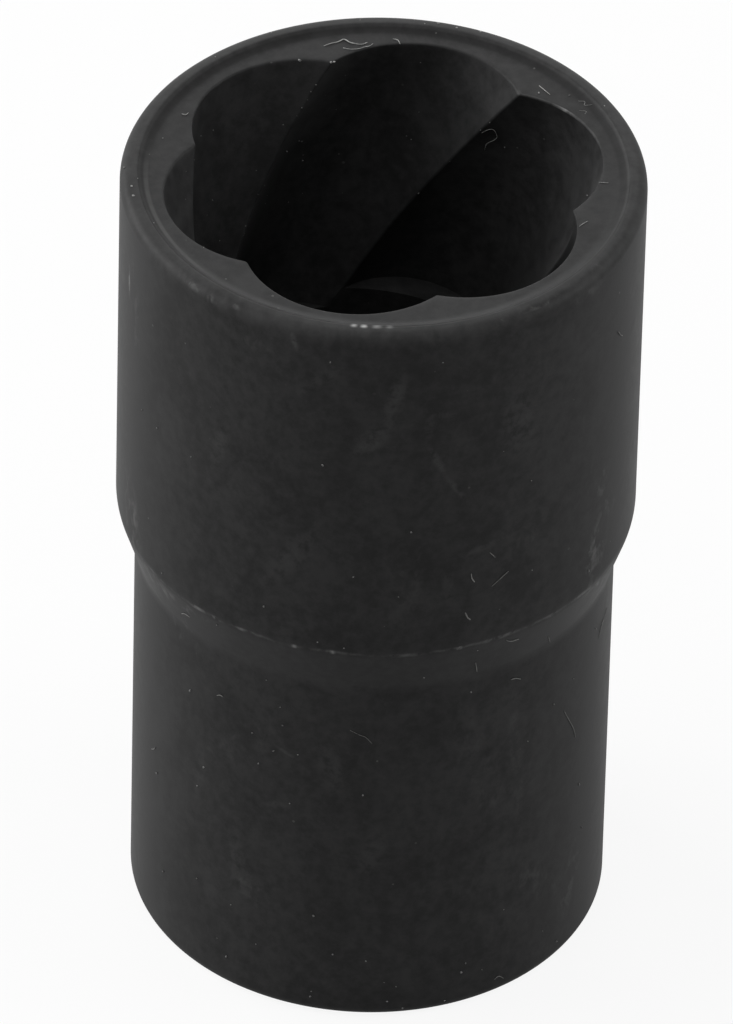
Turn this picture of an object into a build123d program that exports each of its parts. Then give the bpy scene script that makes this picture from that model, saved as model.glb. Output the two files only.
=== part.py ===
from build123d import *
from math import ceil, cos, radians, sin, tan
import os

# Nut extractor socket for a 21 mm nut, with a half-inch square drive, forged in one piece.
# Millimetres, +Z up, origin in the middle of the face that the drive end stands on.

# Outside, turned about Z
total_length = 51.45
head_diameter = 30.0
drive_end_diameter = 27.75
shoulder_bottom = 24.85
shoulder_length = 3.43
shoulder_blend = 2.7
foot_chamfer_width = 0.42
foot_chamfer_height = 0.37
foot_blend = 0.8

# Rim of the mouth: a low crest that stands round a slightly sunken face
rim_edge_blend = 0.7
rim_width = 1.0
rim_crest_rise = 0.09
crest_slope_width = 0.5
crest_slope_blend = 1.5
face_sink = 0.32

# Spiral flutes that bite the nut: lobes with an inward cusp between each two
lobe_count = 6
cusp_diameter = 22.1
cusp_floor_diameter = 19.3
cusp_blend = 0.25
lobe_diameter = 25.4
lobe_floor_diameter = 22.8
flute_depth = 16.25
flute_lead = 99.4
flute_floor_tilt = 7.7

# Passage below the flutes, and the hole pierced through the web
bolt_bore_diameter = 19.5
bolt_bore_floor_bevel = 1.0
web_thickness = 4.0
web_hole_diameter = 10.6

# Square drive, with a ball recess in each of its four flats
drive_square = 12.8
drive_square_blend = 0.8
drive_square_depth = 16.0
drive_lead_in = 0.5
detent_height = 7.9
detent_ball_diameter = 6.0
detent_depth = 0.7

# Worked out from the sizes above
head_radius = head_diameter / 2
drive_end_radius = drive_end_diameter / 2
shoulder_top = shoulder_bottom + shoulder_length
rim_edge_top = total_length - rim_crest_rise
rim_crest_radius = head_radius - rim_width
face_radius = rim_crest_radius - crest_slope_width
face_height = total_length - face_sink
flute_floor = face_height - flute_depth
web_top = drive_square_depth + web_thickness
half_pitch = 180 / lobe_count
floor_rise = head_radius * sin(radians(half_pitch)) * tan(radians(flute_floor_tilt))
lead_in_square = drive_square + 2 * drive_lead_in

# Cuts run this far past the face that they open in
overrun = 2.0
loft_step_angle = 7.0


def on_circle(radius, angle):
    """Point at a radius and an angle in degrees from X."""
    return (radius * cos(radians(angle)), radius * sin(radians(angle)))


def flute_section(height):
    """Space of the flutes at one height: equal arcs that bulge outward and meet in blunt cusps."""
    depth_share = (face_height - height) / flute_depth
    cusp_radius = (cusp_diameter + depth_share * (cusp_floor_diameter - cusp_diameter)) / 2
    lobe_radius = (lobe_diameter + depth_share * (lobe_floor_diameter - lobe_diameter)) / 2
    turn = 360 * (face_height - height) / flute_lead
    with BuildSketch(Plane.XY.offset(height)) as section:
        with BuildLine():
            for lobe in range(lobe_count):
                middle = turn + 2 * half_pitch * lobe
                ThreePointArc(
                    on_circle(cusp_radius, middle - half_pitch),
                    on_circle(lobe_radius, middle),
                    on_circle(cusp_radius, middle + half_pitch),
                )
        make_face()
        fillet(section.vertices(), cusp_blend)
    return section.sketch


# Outer form: drive end, shoulder, head and rim in one turned profile
with BuildPart() as socket:
    with BuildSketch(Plane.XZ) as profile:
        with BuildLine():
            Polyline(
                (0, face_height),
                (0, 0),
                (drive_end_radius - foot_chamfer_width, 0),
                (drive_end_radius, foot_chamfer_height),
                (drive_end_radius, shoulder_bottom),
                (head_radius, shoulder_top),
                (head_radius, rim_edge_top),
                (rim_crest_radius, total_length),
                (face_radius, face_height),
                close=True,
            )
        make_face()
        corners = profile.vertices()
        fillet(corners.sort_by_distance((head_radius, shoulder_top))[0], shoulder_blend)
        fillet(corners.sort_by_distance((drive_end_radius, foot_chamfer_height))[0], foot_blend)
        fillet(corners.sort_by_distance((head_radius, rim_edge_top))[0], rim_edge_blend)
        fillet(corners.sort_by_distance((face_radius, face_height))[0], crest_slope_blend)
    revolve(axis=Axis.Z)

# One flute's floor: a sector of a plane that climbs the way the flutes turn as they go down
with BuildPart() as floor_step:
    slope = radians(flute_floor_tilt)
    with BuildSketch(Plane((0, 0, flute_floor), x_dir=(1, 0, 0), z_dir=(0, -sin(slope), cos(slope)))):
        side = head_radius * sin(radians(half_pitch)) / cos(slope)
        reach = head_radius * cos(radians(half_pitch))
        Polygon((0, 0), (reach, -side), (reach, side), align=None)
    extrude(amount=3 * floor_rise, dir=(0, 0, -1))

# Twisted, tapered space of the flutes, as the forging punch leaves it
with BuildPart() as flutes:
    flute_reach = total_length + overrun - flute_floor + floor_rise
    step_count = ceil(360 * flute_reach / flute_lead / loft_step_angle)
    loft(
        [
            flute_section(total_length + overrun - flute_reach * step / step_count)
            for step in range(step_count + 1)
        ],
        ruled=True,
    )
    with PolarLocations(0, lobe_count, start_angle=360 * flute_depth / flute_lead):
        add(floor_step.part, mode=Mode.SUBTRACT)

# Round bore that clears the bolt, up to the flutes' floors
with BuildPart() as bolt_bore:
    with BuildSketch(Plane.XY.offset(web_top)):
        Circle(bolt_bore_diameter / 2)
    extrude(amount=flute_floor + floor_rise - web_top)
    chamfer(bolt_bore.faces().sort_by(Axis.Z)[0].edges(), bolt_bore_floor_bevel)

# Square drive hole with its lead-in and ball recesses, and the hole through the web
with BuildPart() as drive_hole:
    with BuildSketch(Plane.XY.offset(-overrun)):
        RectangleRounded(drive_square, drive_square, drive_square_blend)
    extrude(amount=overrun + drive_square_depth)
    with BuildSketch():
        RectangleRounded(lead_in_square, lead_in_square, drive_square_blend + drive_lead_in)
    extrude(amount=drive_lead_in, taper=45)
    with Locations((0, 0, detent_height)):
        with PolarLocations(drive_square / 2 + detent_depth - detent_ball_diameter / 2, 4):
            Sphere(detent_ball_diameter / 2, rotation=(0, 90, 0))
    with BuildSketch(Plane.XY.offset(drive_square_depth)):
        Circle(web_hole_diameter / 2)
    extrude(amount=web_thickness)

with socket:
    for hollow in (flutes, bolt_bore, drive_hole):
        add(hollow.part, mode=Mode.SUBTRACT)

socket.part.label = "socket_body"
os.makedirs("parts", exist_ok=True)
export_step(socket.part, "parts/socket_body.step")
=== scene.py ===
import math
import random
import bpy
import numpy as np
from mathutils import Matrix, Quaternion, Vector


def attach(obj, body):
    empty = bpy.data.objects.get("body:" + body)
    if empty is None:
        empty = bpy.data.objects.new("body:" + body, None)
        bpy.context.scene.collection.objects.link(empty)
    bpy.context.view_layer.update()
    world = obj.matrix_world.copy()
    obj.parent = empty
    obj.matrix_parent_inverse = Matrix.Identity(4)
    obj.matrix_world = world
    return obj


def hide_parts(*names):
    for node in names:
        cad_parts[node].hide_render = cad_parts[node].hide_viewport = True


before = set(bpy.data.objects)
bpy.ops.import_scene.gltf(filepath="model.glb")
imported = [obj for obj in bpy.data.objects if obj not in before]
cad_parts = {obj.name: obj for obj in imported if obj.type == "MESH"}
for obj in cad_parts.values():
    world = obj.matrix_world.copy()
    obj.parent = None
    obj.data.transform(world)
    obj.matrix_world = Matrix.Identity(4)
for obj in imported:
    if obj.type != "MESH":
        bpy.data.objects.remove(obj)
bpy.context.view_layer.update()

# Sizes in millimetres, as in the part's source; pairs are at the mouth and at the flutes' floors
TOTAL_LENGTH = 51.45
HEAD_RADIUS = 15.0
DRIVE_RADIUS = 13.875
SHOULDER_BOTTOM = 24.85
SHOULDER_LENGTH = 3.43
SHOULDER_BLEND = 2.7
FOOT_CHAMFER_WIDTH = 0.42
FOOT_CHAMFER_HEIGHT = 0.37
RIM_WIDTH = 1.0
RIM_CREST_RISE = 0.09
FACE_SINK = 0.32
LOBES = 6
CUSP_RADII = (11.05, 9.65)
LOBE_RADII = (12.7, 11.4)
CUSP_BLEND = 0.25
FLUTE_DEPTH = 16.25
FLUTE_LEAD = 99.4
FLOOR_TILT = 7.7
BORE_RADIUS = 9.75
BORE_BEVEL = 1.0
WEB_TOP = 20.0
WEB_HOLE_RADIUS = 5.3
DRIVE_DEPTH = 16.0
DRIVE_HALF = 6.4
DRIVE_CORNER = 0.8
LEAD_IN = 0.5
DETENT_HEIGHT = 7.9
DETENT_RADIUS = 3.0
DETENT_DEPTH = 0.7

# Edges that are rounded only here, or are finer here than in the part's solid
FOOT_BLEND = 0.8
SHOULDER_FOOT_BLEND = 3.0
RIM_EDGE_BLEND = 0.7
CREST_BLEND = 0.35
FACE_RADIUS = 13.59
FACE_BLEND = 1.4
FACE_FLAT = 0.6
MOUTH_BLEND = 0.1
HOLE_BEVEL = 0.15

# Worked out from the sizes above
SHOULDER_TOP = SHOULDER_BOTTOM + SHOULDER_LENGTH
RIM_EDGE_TOP = TOTAL_LENGTH - RIM_CREST_RISE
RIM_CREST_RADIUS = HEAD_RADIUS - RIM_WIDTH
FACE_HEIGHT = TOTAL_LENGTH - FACE_SINK
FOOT_RADIUS = DRIVE_RADIUS - FOOT_CHAMFER_WIDTH
FLOOR_SLOPE = math.tan(math.radians(FLOOR_TILT))
DETENT_CENTRE = DRIVE_HALF + DETENT_DEPTH - DETENT_RADIUS

# Grid of the body: its columns turn with the flutes, one lobe in all by the time they reach the bore
COLUMNS = 360
PER_LOBE = COLUMNS // LOBES
FIRST_AZIMUTH = -180 / LOBES
END_TURN = 360 / LOBES
TIP_STEPS = 6
LONGEST_STEP = 1.2
FLUTE_ROWS = 70
BORE_ROWS = 10
WEB_ROW_RADIUS = 7.0
DETENT_ROWS = 30
DETENT_REACH = 2.2

# The bore cuts the cusps back from this depth down, and the flutes end just outside it
BORE_CUT_DEPTH = 15.45
BORE_CLEAR_RADIUS = BORE_RADIUS + 0.01

METRES_PER_MM = 0.001
MM_PER_METRE = 1000
ARC_PER_DEGREE = HEAD_RADIUS * math.pi / 180


# Rings of the steel body

def column_angles(turn):
    return np.radians(FIRST_AZIMUTH + turn + np.arange(COLUMNS) * 360 / COLUMNS)


def level_ring(radius, height, turn=0.0):
    """Ring at one height, its columns at equal azimuths; the radius is one number or one for each column."""
    angle = column_angles(turn)
    return np.column_stack([radius * np.cos(angle), radius * np.sin(angle), np.full(COLUMNS, height)])


def square_ring(half, corner, height):
    """Rounded square, turned as the columns are below the flutes."""
    angle = column_angles(END_TURN)
    x, y = np.abs(np.cos(angle)), np.abs(np.sin(angle))
    flat = half / np.maximum(x, y)
    centre = half - corner
    along = centre * (x + y)
    rounding = along + np.sqrt(np.maximum(along**2 - 2 * centre**2 + corner**2, 0))
    in_corner = np.minimum(x, y) * flat > centre
    return level_ring(np.where(in_corner, rounding, flat), height, END_TURN)


def flute_ring(depth, outset=0.0, blend=CUSP_BLEND):
    """Lobed ring of the flutes, each column at its own depth; a lobe starts and ends at a cusp's tip."""
    depth = np.broadcast_to(np.asarray(depth, float), (COLUMNS,))
    share = depth / FLUTE_DEPTH
    cusp = CUSP_RADII[0] + share * (CUSP_RADII[1] - CUSP_RADII[0])
    lobe = LOBE_RADII[0] + share * (LOBE_RADII[1] - LOBE_RADII[0])
    half_pitch = math.pi / LOBES
    cosine, sine = math.cos(half_pitch), math.sin(half_pitch)

    # The lobe's arc, and the circle of the blunt tip that runs into it
    bulge = lobe - cusp * cosine
    arc = ((cusp * sine) ** 2 + bulge**2) / (2 * bulge)
    centre = lobe - arc
    tip_centre = centre * cosine + np.sqrt((arc + outset + blend) ** 2 - (centre * sine) ** 2)
    reach = np.arctan2(tip_centre * sine, tip_centre * cosine - centre)

    # Each lobe's first and last columns lie on its two tips, the others on its arc
    step = np.arange(COLUMNS) % PER_LOBE
    side = np.where(step < PER_LOBE / 2, -1.0, 1.0)
    near_tip = np.where(side < 0, step, PER_LOBE - step) / TIP_STEPS
    a = math.pi + half_pitch + near_tip * (reach - half_pitch)
    tip_x = tip_centre * cosine + blend * np.cos(a)
    tip_y = side * (tip_centre * sine + blend * np.sin(a))
    a = reach * (2 * (step - TIP_STEPS) / (PER_LOBE - 2 * TIP_STEPS) - 1)
    x = np.where(near_tip <= 1, tip_x, centre + (arc + outset) * np.cos(a))
    y = np.where(near_tip <= 1, tip_y, (arc + outset) * np.sin(a))
    turn = 2 * math.pi * depth / FLUTE_LEAD + 2 * half_pitch * (np.arange(COLUMNS) // PER_LOBE)
    c, s = np.cos(turn), np.sin(turn)
    return np.column_stack([c * x - s * y, s * x + c * y, FACE_HEIGHT - depth])


def floor_depth(ring):
    """Depth of each flute's sloped floor under a ring's points."""
    middle = 2 * math.pi * FLUTE_DEPTH / FLUTE_LEAD + 2 * math.pi / LOBES * (np.arange(COLUMNS) // PER_LOBE)
    across = ring[:, 1] * np.cos(middle) - ring[:, 0] * np.sin(middle)
    return FLUTE_DEPTH - across * FLOOR_SLOPE


def at_radius(ring, radius):
    """The ring with its points moved to a distance from the axis."""
    out = ring.copy()
    out[:, :2] *= (radius / np.hypot(ring[:, 0], ring[:, 1]))[:, None]
    return out


def held_out(ring, radius):
    """The ring with no point nearer the axis than the radius."""
    return at_radius(ring, np.maximum(np.hypot(ring[:, 0], ring[:, 1]), radius))


def rounded(corners):
    """Profile through (radius, height, blend, steps) corners, rounded at all but its two ends."""
    out = []
    for i, (r, z, blend, steps) in enumerate(corners):
        here = np.array([r, z])
        if i in (0, len(corners) - 1):
            out.append(here)
            continue
        a = np.array(corners[i - 1][:2]) - here
        b = np.array(corners[i + 1][:2]) - here
        a, b = a / np.linalg.norm(a), b / np.linalg.norm(b)
        half = math.acos(np.clip(a @ b, -1, 1)) / 2
        middle = (a + b) / np.linalg.norm(a + b)
        centre = here + middle * blend / math.sin(half)
        start = here + a * blend / math.tan(half) - centre
        end = here + b * blend / math.tan(half) - centre
        sweep = math.pi - 2 * half
        for k in range(steps + 1):
            s = k / steps
            start_share = math.sin((1 - s) * sweep) / math.sin(sweep)
            end_share = math.sin(s * sweep) / math.sin(sweep)
            out.append(centre + start_share * start + end_share * end)
    return out


def divided(points):
    """The profile with its long straight runs divided."""
    out = [points[0]]
    for a, b in zip(points[:-1], points[1:]):
        n = max(1, math.ceil(np.linalg.norm(b - a) / LONGEST_STEP))
        out.extend(a + (b - a) * k / n for k in range(1, n + 1))
    return out


def outside_rings():
    """From the edge of the standing face, up the outside and over the rim to the face of the mouth."""
    profile = rounded([
        (FOOT_RADIUS, 0.0, 0, 0),
        (DRIVE_RADIUS, FOOT_CHAMFER_HEIGHT, FOOT_BLEND, 7),
        (DRIVE_RADIUS, SHOULDER_BOTTOM, SHOULDER_FOOT_BLEND, 8),
        (HEAD_RADIUS, SHOULDER_TOP, SHOULDER_BLEND, 9),
        (HEAD_RADIUS, RIM_EDGE_TOP, RIM_EDGE_BLEND, 9),
        (RIM_CREST_RADIUS, TOTAL_LENGTH, CREST_BLEND, 5),
        (FACE_RADIUS, FACE_HEIGHT, FACE_BLEND, 8),
        (FACE_RADIUS - FACE_FLAT, FACE_HEIGHT, 0, 0),
    ])
    return [level_ring(r, z) for r, z in divided(profile)]


def face_rings(outer):
    """Across the face, from its outer ring to the start of the mouth's rounded edge."""
    mouth = flute_ring(0.0, MOUTH_BLEND, CUSP_BLEND - MOUTH_BLEND)
    return [outer + (mouth - outer) * s for s in (0.35, 0.7, 1.0)]


def mouth_edge_rings():
    """Round the mouth's edge into the flutes."""
    rings = []
    for degrees in (30, 60, 90):
        a = math.radians(degrees)
        out = MOUTH_BLEND * (1 - math.sin(a))
        rings.append(flute_ring(MOUTH_BLEND * (1 - math.cos(a)), out, CUSP_BLEND - out))
    return rings


def flute_rings():
    """Down the flutes to their sloped floors, and over the floors to the bore."""
    bottom = flute_ring(FLUTE_DEPTH)
    for _ in range(4):
        depths = floor_depth(bottom)
        bottom = held_out(flute_ring(depths), BORE_CLEAR_RADIUS)
    rings = []
    for s in np.linspace(0, 1, FLUTE_ROWS)[1:]:
        ring = flute_ring(MOUTH_BLEND + (depths - MOUTH_BLEND) * s)
        cut = ring[:, 2] < FACE_HEIGHT - BORE_CUT_DEPTH
        ring[cut] = held_out(ring, BORE_CLEAR_RADIUS)[cut]
        rings.append(ring)
    lip = at_radius(bottom, BORE_RADIUS)
    lip[:, 2] = FACE_HEIGHT - floor_depth(lip)
    return [*rings, (bottom + lip) / 2, lip]


def bore_rings(lip):
    """Down the bore from the flutes' floors, over the web and through its hole."""
    foot = level_ring(BORE_RADIUS, WEB_TOP + BORE_BEVEL, END_TURN)
    rings = [at_radius(lip + (foot - lip) * s, BORE_RADIUS) for s in np.linspace(0, 1, BORE_ROWS)[1:]]
    for r in (BORE_RADIUS - BORE_BEVEL, WEB_ROW_RADIUS, WEB_HOLE_RADIUS + HOLE_BEVEL):
        rings.append(level_ring(r, WEB_TOP, END_TURN))
    for z in (WEB_TOP - HOLE_BEVEL, (WEB_TOP + DRIVE_DEPTH) / 2, DRIVE_DEPTH + HOLE_BEVEL):
        rings.append(level_ring(WEB_HOLE_RADIUS, z, END_TURN))
    return rings


def recessed_square(height):
    """Ring of the drive hole, pushed out where it passes the ball recesses."""
    plain = square_ring(DRIVE_HALF, DRIVE_CORNER, height)
    ring = plain.copy()
    for axis in (0, 1):
        main, side = plain[:, axis], plain[:, 1 - axis]
        room = DETENT_RADIUS**2 - side**2 - (height - DETENT_HEIGHT) ** 2
        deep = DETENT_CENTRE + np.sqrt(np.maximum(room, 0))
        inside = np.isclose(np.abs(main), DRIVE_HALF) & (room > 0) & (deep > DRIVE_HALF)
        ring[inside, axis] = np.sign(main[inside]) * deep[inside]
    return ring


def drive_rings():
    """Over the end of the drive hole, and down its square with the ball recesses to the lead-in."""
    hole = level_ring(WEB_HOLE_RADIUS + HOLE_BEVEL, DRIVE_DEPTH, END_TURN)
    top = square_ring(DRIVE_HALF, DRIVE_CORNER, DRIVE_DEPTH)
    low, high = DETENT_HEIGHT - DETENT_REACH, DETENT_HEIGHT + DETENT_REACH

    # Rows lie close together over the ball recesses and far apart elsewhere
    recess = np.linspace(high, low, DETENT_ROWS)
    heights = [14.0, 12.0, high + 0.2, *recess, low - 0.3, 3.0, 1.5, LEAD_IN]
    mouth = square_ring(DRIVE_HALF + LEAD_IN, DRIVE_CORNER + LEAD_IN, 0.0)
    return [hole, (hole + top) / 2, top, *(recessed_square(z) for z in heights), mouth]


def new_piece(name, points, faces):
    """Smooth mesh object from points in millimetres."""
    mesh = bpy.data.meshes.new(name)
    mesh.from_pydata((points * METRES_PER_MM).tolist(), [], faces)
    mesh.update()
    mesh.polygons.foreach_set("use_smooth", [True] * len(mesh.polygons))
    piece = bpy.data.objects.new(name, mesh)
    bpy.context.scene.collection.objects.link(piece)
    return piece


def make_body():
    """The steel as one closed grid; its last ring joins the first, one lobe further round."""
    rings = outside_rings()
    rings += face_rings(rings[-1])
    first_edge_row = len(rings) - 1
    rings += mouth_edge_rings()
    edge_rows = slice(first_edge_row, len(rings))
    rings += flute_rings()
    rings += bore_rings(rings[-1])
    rings += drive_rings()
    inner, outer = rings[-1], level_ring(FOOT_RADIUS, 0.0, END_TURN)
    rings += [inner + (outer - inner) * s for s in (0.33, 0.67)]

    rows = len(rings)
    faces = []
    for row in range(rows):
        below = row * COLUMNS
        above = (row + 1) % rows * COLUMNS
        shift = PER_LOBE if row == rows - 1 else 0
        for column in range(COLUMNS):
            following = (column + 1) % COLUMNS
            faces.append((
                below + column,
                below + following,
                above + (following + shift) % COLUMNS,
                above + (column + shift) % COLUMNS,
            ))
    piece = new_piece("socket_steel", np.vstack(rings), faces)
    piece.data.set_sharp_from_angle(angle=math.radians(32))
    mouth_edge = np.zeros((rows, COLUMNS), np.float32)
    mouth_edge[edge_rows] = 1.0
    piece.data.attributes.new("mouth_edge", "FLOAT", "POINT").data.foreach_set("value", mouth_edge.ravel())
    return piece


# Marks, fibres and specks, placed as in the photograph: azimuths in degrees, the rest in millimetres

# Pale smudges on the wall: from azimuth and height, to azimuth and height, width, strength
SMUDGES = [
    (-95.4, 43.6, -91.2, 41.1, 0.34, 0.65),
    (-91.2, 41.1, -86.0, 39.0, 0.27, 0.6),
    (-95.3, 43.9, -95.1, 45.7, 0.35, 0.3),
    (-95.1, 45.7, -89.0, 45.6, 0.4, 0.3),
    (-89.5, 35.0, -74.0, 35.7, 0.32, 0.4),
    (-90.5, 34.6, -89.0, 31.5, 0.6, 0.3),
    (-101.0, 49.0, -104.5, 45.0, 0.7, 0.5),
    (-104.5, 45.0, -110.5, 43.0, 0.9, 0.62),
    (-75.0, 45.0, -73.0, 42.0, 1.6, 0.35),
    (-142.0, 42.3, -144.5, 39.5, 0.8, 0.3),
    (-119.0, 37.0, -130.0, 32.5, 1.0, 0.3),
    (-125.7, 50.9, -124.5, 49.85, 0.26, 1.0),
    (-114.0, 49.3, -125.0, 46.5, 0.6, 0.25),
    (-150.0, 16.5, -152.0, 13.0, 0.7, 0.2),
    (-130.0, 19.6, -123.5, 18.9, 0.18, 0.5),
    (-132.5, 14.9, -124.7, 15.4, 0.3, 0.3),
    (-140.0, 12.5, -138.5, 7.0, 0.8, 0.25),
    (-116.5, 19.8, -114.0, 17.0, 1.2, 0.35),
    (-104.0, 13.5, -106.5, 11.0, 1.2, 0.3),
]
# Rubbed spots on the shoulder's upper edge: azimuth, half width, strength
SHOULDER_SPOTS = [
    (-148.5, 2.8, 0.17),
    (-143.2, 1.7, 0.18),
    (-136.5, 1.2, 0.12),
    (-123.6, 0.8, 0.3),
    (-115.0, 0.7, 0.3),
    (-99.0, 5.0, 0.07),
    (-86.9, 0.9, 0.32),
    (-78.0, 5.5, 0.09),
    (-63.0, 2.5, 0.08),
    (-53.0, 4.0, 0.1),
]
# Nicks on the crest of the rim: azimuth, half width, strength
CREST_SPOTS = [
    (-112.4, 1.1, 0.6),
    (-110.1, 1.15, 0.85),
    (-107.1, 1.6, 0.36),
    (-104.2, 1.25, 0.22),
]
# Wear along the mouth's edge, as stops: azimuth, strength
MOUTH_EDGE_WEAR = [
    (-2.0, 0.0), (3.0, 0.05), (11.0, 0.05), (13.8, 0.1), (15.2, 0.22), (16.9, 0.75),
    (18.4, 0.35), (19.4, 0.2), (21.5, 0.05), (30.0, 0.06), (33.0, 0.0),
]
# Scuffs that are rubbed through to bare steel in small dots, given as the smudges are
SCUFFS = [
    (-178.0, 33.0, -172.0, 27.4, 1.6, 0.09),
    (-172.0, 27.6, -160.0, 27.2, 1.2, 0.1),
    (-160.0, 27.2, -147.0, 27.6, 0.8, 0.09),
    (-158.0, 26.6, -153.0, 24.2, 0.6, 0.07),
    (-163.0, 26.0, -157.0, 23.0, 0.5, 0.05),
    (-50.0, 27.8, -38.0, 26.8, 1.0, 0.11),
    (-50.0, 36.8, -42.0, 32.8, 1.2, 0.06),
    (-46.0, 33.5, -51.0, 28.0, 1.4, 0.075),
    (-56.0, 30.0, -46.0, 31.5, 0.9, 0.05),
    (-155.5, 51.25, -149.0, 51.1, 0.28, 0.08),
    (-148.5, 50.95, -143.0, 51.25, 0.3, 0.1),
    (-141.0, 51.35, -139.0, 51.25, 0.2, 0.08),
    (-140.0, 49.6, -130.0, 49.2, 0.8, 0.03),
    (-79.0, 51.36, -76.5, 51.32, 0.13, 0.2),
    (-76.0, 51.34, -60.0, 51.3, 0.13, 0.12),
    (-52.0, 51.33, -48.0, 51.31, 0.14, 0.14),
    (-60.0, 50.6, -50.0, 50.5, 0.5, 0.05),
    (-178.9, 50.2, -178.6, 48.9, 0.3, 0.2),
    (-178.9, 47.9, -178.2, 45.5, 0.26, 0.2),
    (-176.0, 50.0, -173.0, 42.0, 0.9, 0.04),
    (-66.0, 10.0, -71.0, 24.0, 0.7, 0.03),
    (-68.0, 8.5, -55.0, 6.0, 1.6, 0.035),
    (-50.0, 3.0, -44.0, 8.0, 1.2, 0.05),
    (-140.0, 9.0, -130.0, 7.0, 1.3, 0.035),
    (-100.0, 30.0, -98.0, 37.0, 1.5, 0.025),
    (-78.0, 33.0, -66.0, 36.0, 1.5, 0.02),
    (-125.0, 22.0, -150.0, 16.0, 1.8, 0.02),
    (-86.0, 23.0, -72.0, 12.0, 2.0, 0.02),
]
# Fibres on the wall: azimuth and height of each point; thickness
WALL_FIBRES = [
    ([(-111.0, 21.7), (-108.8, 21.4), (-107.3, 21.25), (-105.8, 20.8)], 0.035),
    ([(-52.9, 18.9), (-51.2, 18.1), (-49.5, 17.3), (-48.3, 16.7), (-47.4, 16.0)], 0.045),
    ([(-145.8, 21.45), (-144.8, 21.62), (-143.9, 21.6)], 0.05),
    ([(-71.3, 23.72), (-69.9, 23.66), (-68.4, 23.45)], 0.06),
    ([(-75.4, 27.8), (-74.4, 27.55), (-73.3, 27.42), (-71.8, 27.4)], 0.055),
    ([(-82.0, 26.35), (-81.5, 25.9), (-81.0, 25.4)], 0.065),
    ([(-156.0, 26.3), (-154.4, 26.6), (-152.6, 26.65)], 0.05),
    ([(-61.2, 25.9), (-60.4, 25.5), (-59.5, 25.1)], 0.05),
    ([(-73.2, 1.2), (-71.9, 1.3), (-70.5, 1.0)], 0.055),
    ([(-171.5, 13.2), (-170.4, 13.4), (-169.6, 13.7)], 0.05),
    ([(-36.0, 21.4), (-34.6, 22.1), (-32.4, 22.2), (-29.8, 22.5)], 0.04),
    ([(-84.8, 33.65), (-84.6, 33.3), (-84.0, 33.0)], 0.085),
    ([(-85.9, 30.85), (-85.4, 30.5), (-84.7, 30.25)], 0.085),
    ([(-80.5, 34.85), (-79.9, 34.65), (-79.2, 34.4)], 0.045),
    ([(-79.8, 32.3), (-78.4, 32.55), (-77.0, 32.85), (-75.8, 33.05)], 0.05),
    ([(-42.4, 45.6), (-41.4, 45.2), (-40.2, 44.9)], 0.06),
]
# Fibres on the rim and its face: azimuth and radius of each point; thickness
FACE_FIBRES = [
    ([
        (90.4, 12.56), (88.3, 12.70), (86.4, 12.77), (84.7, 12.94),
        (83.4, 12.61), (81.7, 12.40), (80.2, 12.38), (78.9, 12.52),
    ], 0.06),
    ([(85.6, 12.15), (83.6, 11.95), (81.3, 12.0), (79.6, 12.1), (78.4, 12.2), (77.4, 12.40)], 0.045),
    ([(72.2, 12.88), (70.9, 12.75), (70.2, 12.40)], 0.05),
    ([(139.0, 12.78), (138.9, 12.55), (137.7, 12.5)], 0.05),
    ([(28.9, 12.43), (26.8, 12.38), (24.2, 12.34)], 0.05),
    ([(17.7, 13.3), (16.6, 13.55), (15.6, 13.4), (14.4, 13.71)], 0.018),
    ([(14.6, 12.9), (13.4, 13.2), (12.6, 13.0)], 0.016),
    ([(-16.6, 12.75), (-16.5, 12.5), (-16.4, 12.2)], 0.035),
    ([(-36.8, 11.85), (-35.4, 11.95), (-33.6, 12.15)], 0.035),
]
# Fibre on the wall of one flute: x, y and z of each point; thickness
FLUTE_FIBRES = [
    ([
        (7.98, 7.37, 47.28), (8.27, 7.16, 47.61), (8.58, 7.01, 47.67),
        (8.81, 7.08, 46.99), (8.34, 7.44, 46.38), (8.26, 7.63, 45.79),
    ], 0.02),
]
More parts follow.
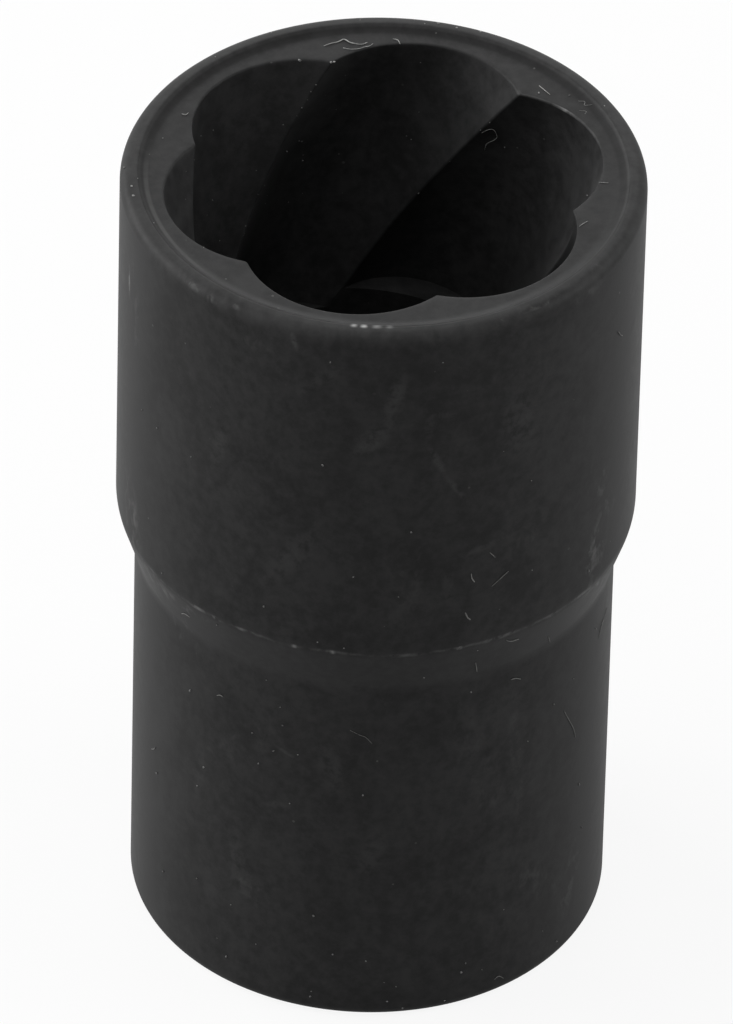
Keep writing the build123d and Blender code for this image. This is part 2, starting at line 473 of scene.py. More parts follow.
# Specks on the wall: azimuth, height, size
WALL_SPECKS = [
    (-107.6, 16.9, 0.07), (-118.8, 7.4, 0.09), (-113.9, 4.65, 0.08), (-119.1, 1.2, 0.08),
    (-100.6, 1.2, 0.08), (-82.3, 2.6, 0.09), (-81.2, 3.2, 0.07), (-76.7, 2.3, 0.05),
    (-44.8, 12.0, 0.1), (-154.8, 20.5, 0.1), (-129.7, 19.1, 0.09), (-123.5, 19.3, 0.07),
    (-135.4, 19.9, 0.06), (-127.5, 21.2, 0.07), (-128.2, 22.5, 0.05), (-149.7, 15.5, 0.08),
    (-141.6, 2.2, 0.08), (-151.7, 13.8, 0.07), (-168.6, 11.9, 0.08), (-164.7, 5.1, 0.07),
    (-133.6, 17.8, 0.06), (-125.3, 15.5, 0.05), (-82.0, 23.8, 0.08), (-56.9, 20.0, 0.06),
    (-65.4, 18.4, 0.05), (-49.3, 20.7, 0.05), (-94.1, 25.8, 0.07), (-82.3, 27.6, 0.05),
    (-143.3, 27.6, 0.07), (-131.9, 24.2, 0.06), (-101.4, 2.65, 0.05), (-98.5, 2.3, 0.05),
    (-105.9, 4.3, 0.06), (-42.6, 8.3, 0.06), (-58.1, 2.95, 0.05), (-98.5, 37.3, 0.08),
    (-110.8, 34.0, 0.07), (-130.8, 30.6, 0.08), (-112.5, 28.7, 0.06), (-118.3, 28.9, 0.06),
    (-51.5, 29.7, 0.08), (-160.2, 28.9, 0.06), (-162.9, 39.1, 0.06), (-151.0, 39.0, 0.05),
    (-169.9, 39.1, 0.06), (-69.5, 32.4, 0.05), (-100.9, 32.6, 0.06), (-92.6, 49.4, 0.05),
    (-116.9, 49.4, 0.05), (-77.9, 42.0, 0.05), (-118.1, 41.9, 0.1), (-70.6, 39.1, 0.06),
    (-71.0, 6.3, 0.05), (-151.4, 6.8, 0.06), (-140.5, 6.3, 0.06), (-133.3, 4.1, 0.05),
    (-52.6, 1.3, 0.07), (-86.4, 0.7, 0.07), (-96.8, 0.6, 0.07), (-118.9, 1.6, 0.05),
    (-38.5, 22.6, 0.06),
]
# Specks on the rim and its face: azimuth, radius, size
FACE_SPECKS = [
    (90.4, 11.0, 0.09), (89.5, 11.0, 0.08), (98.8, 11.74, 0.12), (163.2, 14.75, 0.09),
    (170.8, 14.39, 0.09), (174.3, 14.41, 0.09), (26.6, 11.95, 0.07), (117.0, 14.3, 0.06),
    (101.0, 14.5, 0.07), (62.0, 14.45, 0.09), (57.5, 14.3, 0.08), (65.0, 14.2, 0.05),
    (150.0, 13.0, 0.05), (52.0, 14.5, 0.1), (21.0, 13.2, 0.06), (168.0, 14.0, 0.05),
    (-162.0, 12.2, 0.05), (-175.0, 13.9, 0.05), (12.0, 14.2, 0.06), (80.0, 14.35, 0.06),
]


# Profile under what lies on the steel: the wall's radius by height, and the rim's height by radius
RIM_EDGE_FOOT = RIM_EDGE_TOP - RIM_EDGE_BLEND
WALL_HEIGHTS = (0.0, FOOT_CHAMFER_HEIGHT, SHOULDER_BOTTOM, SHOULDER_TOP, RIM_EDGE_FOOT, 51.15, RIM_EDGE_TOP)
WALL_RADII = (FOOT_RADIUS, DRIVE_RADIUS, DRIVE_RADIUS, HEAD_RADIUS, HEAD_RADIUS, 14.8, 14.36)
RIM_RADII = (13.1, 13.35, 13.6, 13.9, 14.05, 14.3, 14.4, 14.6, 14.8, 14.9)
RIM_HEIGHTS = (FACE_HEIGHT, FACE_HEIGHT + 0.02, 51.2, 51.37, 51.42, 51.41, 51.39, 51.33, 51.19, 51.06)

# Lint and dust that lies on the steel, also where only chance places it
SIDES = 6
ROUTE_STEPS = 5
SPECK_RINGS = 3
SPECK_LIFT = 0.3
LOWEST_BIT = 0.02
FLUTE_FIBRE_INSET = (0.995, 0.995, 1)
FAR_FIBRES = 9
FAR_SPECKS = 46
LIT_FLUTE_SPECKS = 34
FLUTE_SPECKS = 26
FLUTE_DUST_HEIGHTS = (41, 50.9)
FLUTE_DUST_RADIUS = 12.9
LIT_AZIMUTHS = (88, 165)


def polar(azimuth, radius, height):
    a = math.radians(azimuth)
    return np.array([radius * math.cos(a), radius * math.sin(a), height])


def on_wall(azimuth, height, lift):
    return polar(azimuth, np.interp(height, WALL_HEIGHTS, WALL_RADII) + lift, height)


def on_face(azimuth, radius, lift):
    return polar(azimuth, radius, np.interp(radius, RIM_RADII, RIM_HEIGHTS) + lift)


def smooth_route(points):
    """Catmull-Rom route through the points."""
    p = [2 * points[0] - points[1], *points, 2 * points[-1] - points[-2]]
    out = []
    for i in range(1, len(p) - 2):
        for k in range(ROUTE_STEPS):
            t = k / ROUTE_STEPS
            out.append(0.5 * (
                2 * p[i]
                + (p[i + 1] - p[i - 1]) * t
                + (2 * p[i - 1] - 5 * p[i] + 4 * p[i + 1] - p[i + 2]) * t**2
                + (3 * p[i] - 3 * p[i + 1] + p[i + 2] - p[i - 1]) * t**3
            ))
    out.append(points[-1])
    return out


class Bits:
    """Fibres and specks that make up one piece."""

    def __init__(self):
        self.verts = []
        self.faces = []

    def add_fibre(self, points, thickness, chance):
        """Thin tube along the points, tapered at its ends and a little uneven."""
        route = smooth_route(points)
        first, rows = len(self.verts), len(route)
        side = np.cross(route[1] - route[0], (0.3, 0.5, 0.8))
        for i, here in enumerate(route):
            ahead = route[min(i + 1, rows - 1)] - route[max(i - 1, 0)]
            ahead = ahead / np.linalg.norm(ahead)
            side = side - ahead * (side @ ahead)
            side = side / np.linalg.norm(side)
            up = np.cross(ahead, side)
            share = min(max(i / (rows - 1), 0.08), 0.92)
            radius = thickness / 2 * (0.45 + 0.55 * math.sin(math.pi * share) ** 0.5)
            radius *= chance.uniform(0.8, 1.2)
            for k in range(SIDES):
                a = 2 * math.pi * k / SIDES
                self.verts.append(here + radius * (side * math.cos(a) + up * math.sin(a)))
        for i in range(rows - 1):
            for k in range(SIDES):
                a = first + i * SIDES + k
                b = first + i * SIDES + (k + 1) % SIDES
                self.faces.append((a, b, b + SIDES, a + SIDES))
        self.faces.append(tuple(first + k for k in reversed(range(SIDES))))
        self.faces.append(tuple(first + (rows - 1) * SIDES + k for k in range(SIDES)))

    def add_speck(self, middle, size, chance):
        """Small irregular grain: a flattened, leaning ball with uneven points."""
        first = len(self.verts)
        flat = chance.uniform(0.5, 0.9)
        axis = Vector([chance.uniform(-1, 1) for _ in range(3)])
        lean = Quaternion(axis, chance.uniform(0, 3))
        pole = np.array(lean @ Vector((0, 0, size * flat)))
        self.verts.append(middle + pole * chance.uniform(0.7, 1.0))
        for i in range(1, SPECK_RINGS + 1):
            e = math.pi * i / (SPECK_RINGS + 1)
            for k in range(SIDES):
                a = 2 * math.pi * (k + 0.5 * i) / SIDES
                reach = size * chance.uniform(0.65, 1.1)
                offset = Vector((math.sin(e) * math.cos(a), math.sin(e) * math.sin(a), flat * math.cos(e)))
                self.verts.append(middle + np.array(lean @ (offset * reach)))
        self.verts.append(middle - pole * chance.uniform(0.7, 1.0))
        last = len(self.verts) - 1
        for k in range(SIDES):
            self.faces.append((first, first + 1 + k, first + 1 + (k + 1) % SIDES))
            self.faces.append((last, last - SIDES + (k + 1) % SIDES, last - SIDES + k))
        for i in range(SPECK_RINGS - 1):
            for k in range(SIDES):
                a = first + 1 + i * SIDES + k
                b = first + 1 + i * SIDES + (k + 1) % SIDES
                self.faces.append((a, a + SIDES, b + SIDES, b))

    def make(self, name, material):
        """The piece itself, kept inside the body's box."""
        points = np.array(self.verts)
        points[:, :2] = np.clip(points[:, :2], -HEAD_RADIUS, HEAD_RADIUS)
        points[:, 2] = np.clip(points[:, 2], LOWEST_BIT, TOTAL_LENGTH)
        piece = new_piece(name, points, self.faces)
        piece.data.materials.append(material)
        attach(piece, "root")


def make_fibres(chance):
    """Lint: fibres on the near wall, the rim and one flute, and a few at random on the far wall."""
    wall, rim = Bits(), Bits()
    for route, thickness in WALL_FIBRES:
        points = [on_wall(a, z, thickness * 0.4 + chance.uniform(0, 0.03)) for a, z in route]
        wall.add_fibre(points, thickness, chance)
    for route, thickness in FACE_FIBRES:
        points = [on_face(a, r, thickness * 0.5 + chance.uniform(0, 0.04)) for a, r in route]
        rim.add_fibre(points, thickness, chance)
    for route, thickness in FLUTE_FIBRES:
        rim.add_fibre([np.array(point) * FLUTE_FIBRE_INSET for point in route], thickness, chance)
    for _ in range(FAR_FIBRES):
        azimuth = chance.uniform(-5, 150)
        height = chance.choice((chance.uniform(2, 24), chance.uniform(29, 49)))
        lean = 0.35 * chance.uniform(-1.2, 1.2)
        bend = chance.uniform(-0.3, 0.3)
        route = [(azimuth + 3.2 * k, height + lean * k + bend * k * k) for k in (-0.8, 0.0, 0.8)]
        points = [on_wall(*place, 0.02) for place in route]
        wall.add_fibre(points, chance.uniform(0.03, 0.055), chance)
    rim.make("rim_fibres", plain_material("lint", (0.38, 0.38, 0.37), 0.8))
    # Painted shade: the wall's fibres take a darker copy of the lint's colour
    wall.make("wall_fibres", plain_material("lint_painted_shade", (0.17, 0.17, 0.165), 0.8))


def make_specks(chance, body):
    """Dust: specks on the near wall and the rim, and at random on the far wall and in the flutes."""
    wall, rim = Bits(), Bits()
    for azimuth, height, size in WALL_SPECKS:
        wall.add_speck(on_wall(azimuth, height, size * SPECK_LIFT), size, chance)
    for azimuth, radius, size in FACE_SPECKS:
        rim.add_speck(on_face(azimuth, radius, size * SPECK_LIFT), size, chance)
    for _ in range(FAR_SPECKS):
        azimuth, height, size = chance.uniform(-12, 160), chance.uniform(1, 50), chance.uniform(0.04, 0.09)
        wall.add_speck(on_wall(azimuth, height, size * SPECK_LIFT), size, chance)

    # In the flutes: points between the body's vertices, more of them on the side that catches light
    low, high = FLUTE_DUST_HEIGHTS
    grid = [v.co * MM_PER_METRE for v in body.data.vertices]
    flutes = [
        p.lerp(grid[i + COLUMNS + 1], chance.random())
        for i, p in enumerate(grid[:-COLUMNS - 1]) if low < p.z < high and p.xy.length < FLUTE_DUST_RADIUS
    ]
    first, last = LIT_AZIMUTHS
    lit = [p for p in flutes if first < math.degrees(math.atan2(p.y, p.x)) < last]
    for points, count in ((lit, LIT_FLUTE_SPECKS), (flutes, FLUTE_SPECKS)):
        for point in chance.sample(points, count):
            inward = np.array((-point.x, -point.y, 0)) / point.xy.length
            wall.add_speck(np.array(point) + inward * 0.01, chance.uniform(0.025, 0.06), chance)
    rim.make("rim_specks", plain_material("dust", (0.27, 0.27, 0.265), 0.85))
    # Painted shade: specks on the walls and in the flutes take a darker copy of the dust's colour
    wall.make("wall_specks", plain_material("dust_painted_shade", (0.18, 0.18, 0.177), 0.85))


# Materials

# Colours of the steel, from the coat's darkest clouds to bare metal
COAT_DARK = (0.0178, 0.0178, 0.0179, 1)
COAT_LIGHT = (0.0352, 0.0352, 0.0354, 1)
# Painted shade for the inner foot of the rim's crest
CREST_SHADE_COLOUR = (0.008, 0.008, 0.008, 1)
SMUDGE_COLOUR = (0.06, 0.06, 0.06, 1)
DUST_COLOUR = (0.078, 0.078, 0.076, 1)
# Also the colour of the painted highlights on the crest and face
BARE_METAL_AND_HIGHLIGHT_COLOUR = (0.5, 0.5, 0.495, 1)

# Marks of the wall fade out between these radii, so that none shows on the face or in the flutes
WALL_FADE = (13.3, 13.6)

# How much bare metal shows where whole edges are worn, and how strong the painted highlights along the crest
# and on the face are
SHOULDER_LINE_WEAR = 0.08
RIM_EDGE_WEAR = 0.022
CREST_HIGHLIGHT = 0.012
FACE_HIGHLIGHT_LINE = 0.07
FACE_HIGHLIGHT_BAND = 0.014

# How strong the painted shade at the crest's foot is
CREST_SHADE_STRENGTH = 0.45


class Nodes:
    """Small helper that wires a node tree."""

    def __init__(self, tree):
        self.tree = tree

    def add(self, kind, **values):
        node = self.tree.nodes.new(kind)
        for key, value in values.items():
            setattr(node, key, value)
        return node

    def put(self, socket, value):
        """Sets a socket to a number or a tuple, or wires it to another socket."""
        if isinstance(value, (int, float, tuple)):
            socket.default_value = value
        else:
            self.tree.links.new(value, socket)

    def filled(self, kind, inputs, **values):
        """New node with the inputs of these names set or wired."""
        node = self.add(kind, **values)
        for key, value in inputs.items():
            self.put(node.inputs[key], value)
        return node

    def math(self, operation, a, b=0.0):
        return self.filled("ShaderNodeMath", {0: a, 1: b}, operation=operation).outputs[0]

    def vector(self, operation, a, b):
        return self.filled("ShaderNodeVectorMath", {0: a, 1: b}, operation=operation).outputs["Value"]

    def combined(self, x, y):
        return self.filled("ShaderNodeCombineXYZ", {0: x, 1: y}).outputs[0]

    def mix(self, factor, a, b):
        """Colour a with colour b over it."""
        node = self.filled("ShaderNodeMix", {"Factor": factor, "A": a, "B": b}, data_type="RGBA")
        return node.outputs["Result"]

    def total(self, values):
        out = None
        for value in values:
            out = value if out is None else self.math("ADD", out, value)
        return out

    def product(self, *factors):
        out = factors[0]
        for factor in factors[1:]:
            out = self.math("MULTIPLY", out, factor)
        return out

    def ramp(self, value, low, high, out_low=0.0, out_high=1.0, kind="SMOOTHSTEP"):
        inputs = {"Value": value, "From Min": low, "From Max": high, "To Min": out_low, "To Max": out_high}
        return self.filled("ShaderNodeMapRange", inputs, interpolation_type=kind).outputs[0]

    def near(self, value, middle, full, none):
        """1 within full of the middle, 0 beyond none."""
        away = self.math("ABSOLUTE", self.math("SUBTRACT", value, middle))
        return self.ramp(away, full, none, 1.0, 0.0)

    def along(self, value, stops):
        """Strength at a value, from up to 32 stops of (value, strength)."""
        node = self.add("ShaderNodeValToRGB")
        low, high = stops[0][0], stops[-1][0]
        self.put(node.inputs["Fac"], self.ramp(value, low, high, kind="LINEAR"))
        node.color_ramp.interpolation = "EASE"
        elements = node.color_ramp.elements
        for at, _ in stops[1:-1]:
            elements.new((at - low) / (high - low))
        for element, (_, strength) in zip(elements, stops):
            element.color = (strength, strength, strength, 1)
        return node.outputs["Color"]

    def noise(self, place, scale, detail, rough, distortion=0.0, stretch=(1.0, 1.0, 1.0), offset=0.0):
        moved = self.filled("ShaderNodeMapping", {
            "Vector": place,
            "Scale": stretch,
            "Location": (offset, offset * 1.7, offset * 0.6),
        })
        return self.filled("ShaderNodeTexNoise", {
            "Vector": moved.outputs[0],
            "Scale": scale,
            "Detail": detail,
            "Roughness": rough,
            "Distortion": distortion,
        }).outputs[0]


def new_material(name):
    """Empty material, with the helper for its nodes."""
    material = bpy.data.materials.new(name)
    material.use_nodes = True
    material.node_tree.nodes.clear()
    return material, Nodes(material.node_tree)


def set_surface(n, shader):
    """Wires a shader to the material's surface."""
    n.put(n.add("ShaderNodeOutputMaterial").inputs["Surface"], shader.outputs[0])


class SteelPoint:
    """A point of the steel in millimetres and degrees, and the noises that its coat and wear share."""

    def __init__(self, n):
        self.n = n
        self.place = n.add("ShaderNodeTexCoord").outputs["Object"]
        split = n.filled("ShaderNodeSeparateXYZ", {0: self.place})
        self.x, self.y, self.z = (n.math("MULTIPLY", split.outputs[i], MM_PER_METRE) for i in range(3))
        self.r = n.math("SQRT", n.total([n.product(self.x, self.x), n.product(self.y, self.y)]))
        self.azimuth = n.math("MULTIPLY", n.math("ARCTAN2", self.y, self.x), 180 / math.pi)
        self.unrolled = n.combined(n.math("MULTIPLY", self.azimuth, ARC_PER_DEGREE), self.z)
        self.wall = n.ramp(self.r, *WALL_FADE)
        self.cloud = n.noise(self.place, 300.0, 4.0, 0.62, 0.8, stretch=(1, 1, 0.7))
        self.grain = n.noise(self.place, 1500.0, 4.0, 0.65, offset=3.0)
        self.fine = n.noise(self.place, 4200.0, 2.0, 0.6, offset=7.0)
        self.streak = n.noise(self.place, 330.0, 3.0, 0.7, 0.4, offset=11.0)

    def facing(self, azimuth):
        """Cosine of the angle round the axis from an azimuth."""
        a = math.radians(azimuth)
        return self.n.math("DIVIDE", self.n.total([
            self.n.math("MULTIPLY", self.x, math.cos(a)),
            self.n.math("MULTIPLY", self.y, math.sin(a)),
        ]), self.r)


def spots(marks):
    """Stops of (place, strength) that rise and fall over each mark's half width."""
    stops = []
    for middle, half, strength in marks:
        stops += [(middle - half, 0.0), (middle, strength), (middle + half, 0.0)]
    return stops


def long_spot(n, unrolled, start_azimuth, start_height, end_azimuth, end_height, width, strength):
    """Spot on the unrolled wall, drawn out from one place to another and fading to its width."""
    start = np.array([start_azimuth * ARC_PER_DEGREE, start_height])
    end = np.array([end_azimuth * ARC_PER_DEGREE, end_height])
    length = math.hypot(*(end - start))
    c, s = (end - start) / length
    reach = length / 2 + width

    # In its own frame, scaled along and across, the spot is a round one of radius 1
    along, across = np.array([c, s]) / reach, np.array([-s, c]) / width
    own = n.combined(*(n.vector("DOT_PRODUCT", unrolled, (*axis.tolist(), 0.0)) for axis in (along, across)))
    middle = (start + end) / 2
    away = n.vector("DISTANCE", own, (float(along @ middle), float(across @ middle), 0.0))
    return n.ramp(away, 0.25, 1.0, strength, 0.0)


def smudges(n, at):
    """Paler streaks on the wall."""
    streaks = n.total(long_spot(n, at.unrolled, *values) for values in SMUDGES)
    return n.product(streaks, n.ramp(at.grain, 0.3, 0.62), at.wall)


def shoulder_wear(n, at):
    """The shoulder's upper edge: a thin broken line, and the spots that are rubbed through."""
    drift = n.math("MULTIPLY", n.math("SUBTRACT", at.streak, 0.5), 0.55)
    line = n.near(n.math("SUBTRACT", at.z, drift), SHOULDER_TOP - 0.02, 0.0, 0.17)
    line = n.product(line, n.ramp(at.grain, 0.38, 0.6), n.ramp(at.streak, 0.36, 0.6, 0.25, 1.0))
    across = n.near(n.math("SUBTRACT", at.z, n.math("MULTIPLY", drift, 0.5)), SHOULDER_TOP - 0.05, 0.04, 0.22)
    rubbed = n.product(n.along(at.azimuth, spots(SHOULDER_SPOTS)), across, n.ramp(at.grain, 0.35, 0.55))
    return [n.product(line, SHOULDER_LINE_WEAR), rubbed]


def rim_wear_and_highlight(n, at):
    """The rim's worn outer edge, a painted highlight along its crest on the near side, and the nicks on the
    crest.
    """
    edge = n.product(
        n.ramp(at.z, TOTAL_LENGTH - 1.0, TOTAL_LENGTH - 0.35),
        n.ramp(at.r, RIM_CREST_RADIUS - 0.24, RIM_CREST_RADIUS - 0.1),
        n.ramp(at.streak, 0.3, 0.7, 0.75, 1.0),
        n.ramp(at.grain, 0.25, 0.75, 0.7, 1.0),
    )
    # Painted highlight: a pale line along the crest on the near side
    crest = n.product(
        n.ramp(at.z, TOTAL_LENGTH - 0.55, TOTAL_LENGTH - 0.25),
        n.near(at.r, RIM_CREST_RADIUS - 0.08, 0.03, 0.18),
        n.near(at.azimuth, -98.0, 75.0, 115.0),
        n.ramp(at.streak, 0.35, 0.65, 0.5, 1.0),
    )
    nicks = n.product(
        n.along(at.azimuth, spots(CREST_SPOTS)),
        n.near(at.r, RIM_CREST_RADIUS - 0.06, 0.1, 0.34),
        n.ramp(at.z, TOTAL_LENGTH - 0.45, TOTAL_LENGTH - 0.33),
        n.ramp(at.grain, 0.3, 0.5, 0.6, 1.0),
    )
    return [n.product(edge, RIM_EDGE_WEAR), n.product(crest, CREST_HIGHLIGHT), nicks]


def face_painted_highlights(n, at):
    """The face's outer ring: a painted highlight line on the left, and a softer painted highlight band at the
    front left.
    """
    face = n.ramp(at.z, FACE_HEIGHT - 0.03, FACE_HEIGHT)
    # Painted highlight: a thin pale line at the foot of the crest on the left
    highlight_line = n.product(
        face,
        n.near(at.r, FACE_RADIUS - 0.06, 0.06, 0.2),
        n.ramp(at.facing(-178.0), 0.87, 0.98),
        n.ramp(at.streak, 0.3, 0.6, 0.6, 1.0),
    )
    # Painted highlight: a softer, broader pale band at the front left
    band = n.product(
        face,
        n.near(at.r, FACE_RADIUS - 0.19, 0.08, 0.35),
        n.near(at.azimuth, -145.0, 8.0, 26.0),
        n.ramp(at.streak, 0.3, 0.6, 0.5, 1.0),
    )
    return [n.product(highlight_line, FACE_HIGHLIGHT_LINE), n.product(band, FACE_HIGHLIGHT_BAND)]


def mouth_wear(n, at):
    """The mouth's edge, which the body's mesh marks with an attribute."""
    edge = n.add("ShaderNodeAttribute", attribute_name="mouth_edge").outputs["Fac"]
    broken = n.product(n.ramp(at.streak, 0.35, 0.6, 0.4, 1.0), n.ramp(at.grain, 0.3, 0.55, 0.4, 1.0))
    return n.product(n.ramp(edge, 0.7, 1.0), n.along(at.azimuth, MOUTH_EDGE_WEAR), broken)


def scuffs(n, at):
    """Scuffs on the outside of the wall and rim, in small dots."""
    rubbing = n.noise(at.place, 1400.0, 3.0, 0.6, 0.4, stretch=(1, 1, 0.6), offset=17.0)
    dots = n.product(n.ramp(rubbing, 0.46, 0.66), n.ramp(at.fine, 0.25, 0.7, 0.5, 1.0))
    beyond_crest = n.ramp(at.r, RIM_CREST_RADIUS, RIM_CREST_RADIUS + 0.2)
    outside = n.math("MAXIMUM", beyond_crest, n.math("LESS_THAN", at.z, RIM_EDGE_TOP - 1.0))
    return n.product(n.total(long_spot(n, at.unrolled, *values) for values in SCUFFS), at.wall, outside, dots)


def settled_dust(n, at):
    """Sparse pale grains: the middles of a few random cells."""
    cells = n.filled("ShaderNodeTexVoronoi", {"Vector": at.place, "Scale": 900.0}, feature="F1")
    chance = n.filled("ShaderNodeSeparateColor", {0: cells.outputs["Color"]}).outputs
    size = n.ramp(chance[0], 0.6, 1.0, 0.0, 0.085, kind="LINEAR")
    grain = n.math("LESS_THAN", cells.outputs["Distance"], size)
    return n.product(grain, n.ramp(chance[1], 0.2, 1.0, 0.15, 1.0))


def crest_painted_shade(n, at):
    """Painted shade along the inner foot of the rim's crest, darkest at the back and less of it towards the
    front.
    """
    return n.product(
        n.ramp(at.z, TOTAL_LENGTH - 0.4, TOTAL_LENGTH - 0.31),
        n.near(at.r, FACE_RADIUS + 0.03, 0.12, 0.34),
        n.ramp(at.facing(68.0), -0.9, 0.5),
        CREST_SHADE_STRENGTH,
    )


def steel_material():
    """Blackened, phosphated steel: cloudy, dusty, and rubbed brighter on its edges, with painted highlights
    on the crest and face and painted shade at the crest's foot.
    """
    material, n = new_material("black_phosphate_steel")
    at = SteelPoint(n)
    clouds = n.math("ADD", n.math("MULTIPLY", at.cloud, 0.5), n.math("MULTIPLY", at.grain, 0.5))
    # Real wear together with the painted highlights on the crest and face
    worn_and_highlights = [*shoulder_wear(n, at), *rim_wear_and_highlight(n, at), *face_painted_highlights(n, at), mouth_wear(n, at), scuffs(n, at)]
    wear_and_highlight = n.math("MINIMUM", n.total(worn_and_highlights), 1.0)
    colour = n.mix(n.ramp(clouds, 0.32, 0.7), COAT_DARK, COAT_LIGHT)
    # Painted shade at the crest's inner foot, darkest at the back
    colour = n.mix(crest_painted_shade(n, at), colour, CREST_SHADE_COLOUR)
    colour = n.mix(smudges(n, at), colour, SMUDGE_COLOUR)
    colour = n.mix(settled_dust(n, at), colour, DUST_COLOUR)
    colour = n.mix(wear_and_highlight, colour, BARE_METAL_AND_HIGHLIGHT_COLOUR)
    roughness = n.ramp(clouds, 0.3, 0.75, 0.43, 0.55)
    relief = n.math("ADD", n.math("MULTIPLY", at.grain, 0.7), n.math("MULTIPLY", at.fine, 0.3))
    bump = n.filled("ShaderNodeBump", {"Strength": 0.25, "Distance": 0.00003, "Height": relief})
    set_surface(n, n.filled("ShaderNodeBsdfPrincipled", {
        "Base Color": colour,
        "Roughness": n.math("SUBTRACT", roughness, n.math("MULTIPLY", wear_and_highlight, 0.1)),
        "Metallic": 0.0,
        "IOR": 1.17,
        "Normal": bump.outputs[0],
    }))
    return material


def plain_material(name, colour, roughness):
    """Dust or lint: dull, a little uneven."""
    material, n = new_material(name)
    place = n.add("ShaderNodeTexCoord").outputs["Object"]
    uneven = n.ramp(n.noise(place, 6000.0, 2.0, 0.5), 0.35, 0.65)
    darker = tuple(channel * 0.75 for channel in colour)
    set_surface(n, n.filled("ShaderNodeBsdfPrincipled", {
        "Base Color": n.mix(uneven, (*darker, 1), (*colour, 1)),
        "Roughness": roughness,
    }))
    return material


# Stage, lamps and camera

FLOOR_REACH = 3.0
FLOOR_DROP = 0.00002
LAMP_DISTANCE = 0.8
LAMP_WIDTH = 0.5
LAMP_AIM = (0, 0, 0.026)

# Lamps: name, azimuth and elevation in degrees, power in watts
LAMPS = [
    ("left_side", 163.6, 25, 2.55),
    ("left_high", 163.6, 45, 0.6),
    ("left_back", 135.6, 25, 4.2),
    ("right_side", -16.4, 25, 2.6),
    ("right_back", 11.6, 25, 0.65),
    ("back_low", 73.6, 20, 0.9),
    ("back_high", 73.6, 50, 0.85),
    ("front_high", -106.4, 75, 1.1),
    ("front_left", -151.4, 40, 0.57),
]

# The camera that was fitted to the photograph's outlines, in metres and radians
CAMERA_TURN = math.radians(-16.4)
CAMERA_ELEVATION = 0.684778
CAMERA_DISTANCE = 0.900087
CAMERA_ROLL = 0.025208
CAMERA_PIVOT_HEIGHT = 0.0255
CAMERA_AIM = (-0.000508, 0, 0.026574)
FOCAL_LENGTH_PIXELS = 15567.6
PICTURE_HEIGHT_PIXELS = 1024
SENSOR_WIDTH = 36.0


def floor_material():
    """Paper that takes the soft shadow, with the white of the background laid over most of it."""
    material, n = new_material("studio_floor")
    rays = n.add("ShaderNodeLightPath").outputs
    paper = n.filled("ShaderNodeBsdfDiffuse", {"Color": (0.6, 0.6, 0.6, 1)})
    white = n.filled("ShaderNodeEmission", {"Color": (1, 1, 1, 1), "Strength": 1.05})
    thrown = n.math("MAXIMUM", rays["Is Glossy Ray"], rays["Is Transmission Ray"])
    share = n.math("MAXIMUM", n.product(rays["Is Camera Ray"], 0.85), n.product(thrown, 0.4))
    set_surface(n, n.filled("ShaderNodeMixShader", {"Fac": share, 1: paper.outputs[0], 2: white.outputs[0]}))
    return material


def make_floor():
    mesh = bpy.data.meshes.new("studio_floor")
    corners = [(x * FLOOR_REACH, y * FLOOR_REACH, 0) for x, y in ((-1, -1), (1, -1), (1, 1), (-1, 1))]
    mesh.from_pydata(corners, [], [(0, 1, 2, 3)])
    mesh.materials.append(floor_material())
    floor = bpy.data.objects.new("studio_floor", mesh)
    floor.location.z = -FLOOR_DROP
    bpy.context.scene.collection.objects.link(floor)


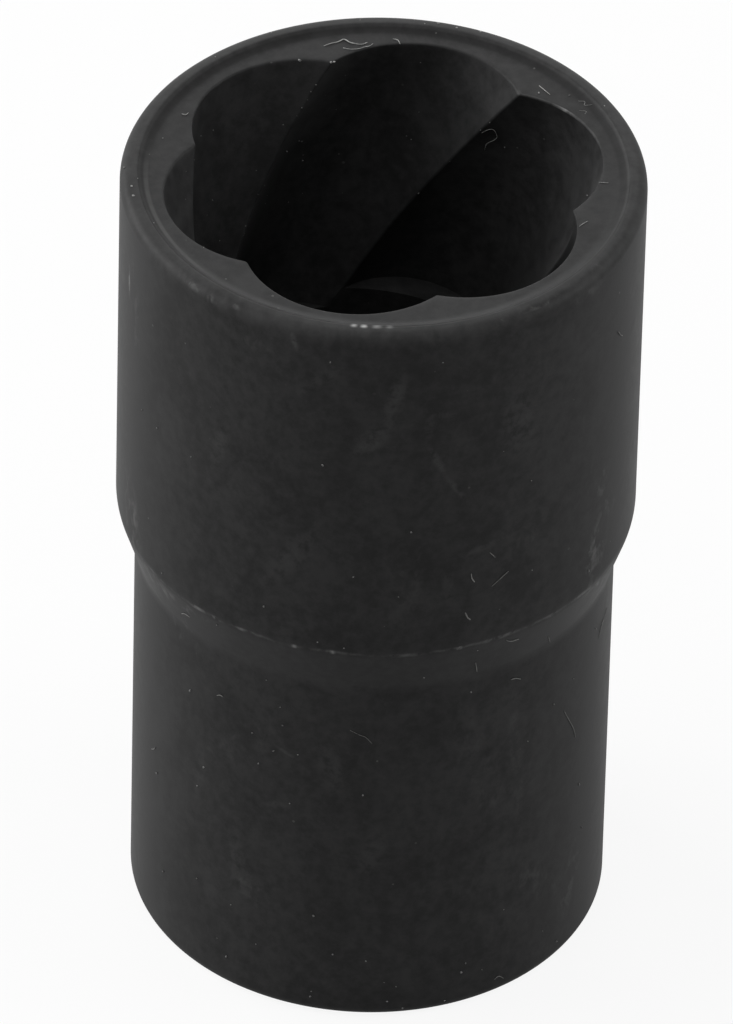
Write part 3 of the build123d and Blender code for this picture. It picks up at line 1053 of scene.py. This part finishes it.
def make_world():
    """White where it is seen or mirrored, and nearly dark as a light."""
    world = bpy.data.worlds.new("studio")
    world.use_nodes = True
    world.node_tree.nodes.clear()
    bpy.context.scene.world = world
    n = Nodes(world.node_tree)
    rays = n.add("ShaderNodeLightPath").outputs
    seen = n.math("MAXIMUM", rays["Is Camera Ray"], rays["Is Glossy Ray"])
    seen = n.math("MAXIMUM", seen, rays["Is Transmission Ray"])
    strength = n.ramp(seen, 0.0, 1.0, 0.05, 1.0, kind="LINEAR")
    back = n.filled("ShaderNodeBackground", {"Color": (1, 1, 1, 1), "Strength": strength})
    n.put(n.add("ShaderNodeOutputWorld").inputs["Surface"], back.outputs[0])


def make_lamp(name, azimuth, elevation, power):
    """Square softbox that faces the middle of the object."""
    light = bpy.data.lights.new(name, "AREA")
    light.shape = "SQUARE"
    light.size = LAMP_WIDTH
    light.energy = power
    lamp = bpy.data.objects.new(name, light)
    a, e = math.radians(azimuth), math.radians(elevation)
    toward = Vector((math.cos(a) * math.cos(e), math.sin(a) * math.cos(e), math.sin(e)))
    lamp.location = Vector(LAMP_AIM) + toward * LAMP_DISTANCE
    lamp.rotation_mode = "QUATERNION"
    lamp.rotation_quaternion = toward.to_track_quat("Z", "Y")
    bpy.context.scene.collection.objects.link(lamp)


def make_camera():
    """Long lens, 39 degrees above the horizon."""
    around = Quaternion((0, 0, 1), CAMERA_TURN)
    back = CAMERA_DISTANCE * math.cos(CAMERA_ELEVATION)
    rise = CAMERA_DISTANCE * math.sin(CAMERA_ELEVATION)
    eye = around @ Vector((0, -back, rise + CAMERA_PIVOT_HEIGHT))
    aim = around @ Vector(CAMERA_AIM)
    data = bpy.data.cameras.new("camera")
    data.sensor_width = SENSOR_WIDTH
    data.lens = SENSOR_WIDTH * FOCAL_LENGTH_PIXELS / PICTURE_HEIGHT_PIXELS
    data.clip_start, data.clip_end = 0.05, 20.0
    camera = bpy.data.objects.new("camera", data)
    camera.location = eye
    camera.rotation_mode = "QUATERNION"
    camera.rotation_quaternion = (aim - eye).to_track_quat("-Z", "Y") @ Quaternion((0, 0, 1), CAMERA_ROLL)
    bpy.context.scene.collection.objects.link(camera)
    bpy.context.scene.camera = camera


make_camera()
body = make_body()
body.data.materials.append(steel_material())
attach(body, "root")
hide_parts("socket_body")
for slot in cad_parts["socket_body"].material_slots:
    slot.material = body.data.materials[0]
chance = random.Random(7)
make_fibres(chance)
make_specks(chance, body)

make_floor()
make_world()
for lamp in LAMPS:
    make_lamp(*lamp)

bpy.context.scene.view_settings.view_transform = "Standard"
